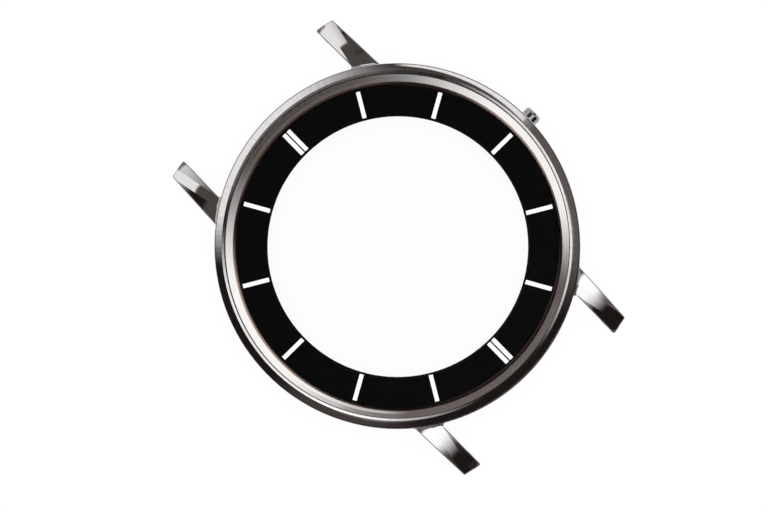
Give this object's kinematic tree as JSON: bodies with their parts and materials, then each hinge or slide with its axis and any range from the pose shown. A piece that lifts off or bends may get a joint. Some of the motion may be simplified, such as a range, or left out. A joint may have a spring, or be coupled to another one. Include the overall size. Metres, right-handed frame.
{
  "type": "watch head with chapter ring",
  "caption": "Slim round watch head with a black chapter ring, white batons and an open centre, polished bezel and flange, lugs, a small pull-out crown and a glazed back.",
  "frame": {"origin": "centre of the case back's flush window, on the plane the watch rests on, where the axis of the case meets it", "axes": "+Z along the case axis towards the crystal, +Y to 12 o'clock, +X to 3 o'clock and the crown"},
  "size_m": [0.0402, 0.0458, 0.0056],
  "materials": {
    "case_steel": "mirror-polished stainless steel",
    "flange_steel": "polished stainless steel",
    "back_steel": "circular brushed stainless steel",
    "holder_steel": "fine turned steel",
    "tube_steel": "turned steel",
    "screw_steel": "polished steel",
    "dial_black": "black lacquer, satin",
    "marker_white": "white lacquer, matt",
    "brass": "turned",
    "gasket": "matt",
    "crystal": "clear, anti-reflective"
  },
  "bodies": {
    "case": {"case_middle": "case_steel", "lug_12_right": "case_steel", "lug_12_left": "case_steel", "lug_6_right": "case_steel", "lug_6_left": "case_steel", "bezel": "case_steel", "crystal": "crystal", "crystal_gasket": "gasket", "flange_ring": "flange_steel", "chapter_ring": "dial_black", "hour_batons": "marker_white", "double_batons": "marker_white", "chapter_ring_feet": "brass", "casing_ring": "holder_steel", "crown_tube": "tube_steel", "case_back_ring": "back_steel", "case_back_window": "crystal", "window_gasket": "gasket", "case_back_gasket": "gasket", "case_back_screws": "screw_steel"},
    "stem": {"winding_stem": "tube_steel", "stem_gasket": "gasket"},
    "crown": {"crown": "case_steel"}
  },
  "joints": [
    {"name": "crown_pull", "type": "slide", "parent": "case", "child": "stem", "axis": [1, 0, 0], "range_m": [0, 0.0005]},
    {"name": "crown_turn", "type": "hinge", "parent": "stem", "child": "crown", "pos_m": [0.0196, 0, 0.002], "axis": [1, 0, 0], "continuous": true}
  ]
}
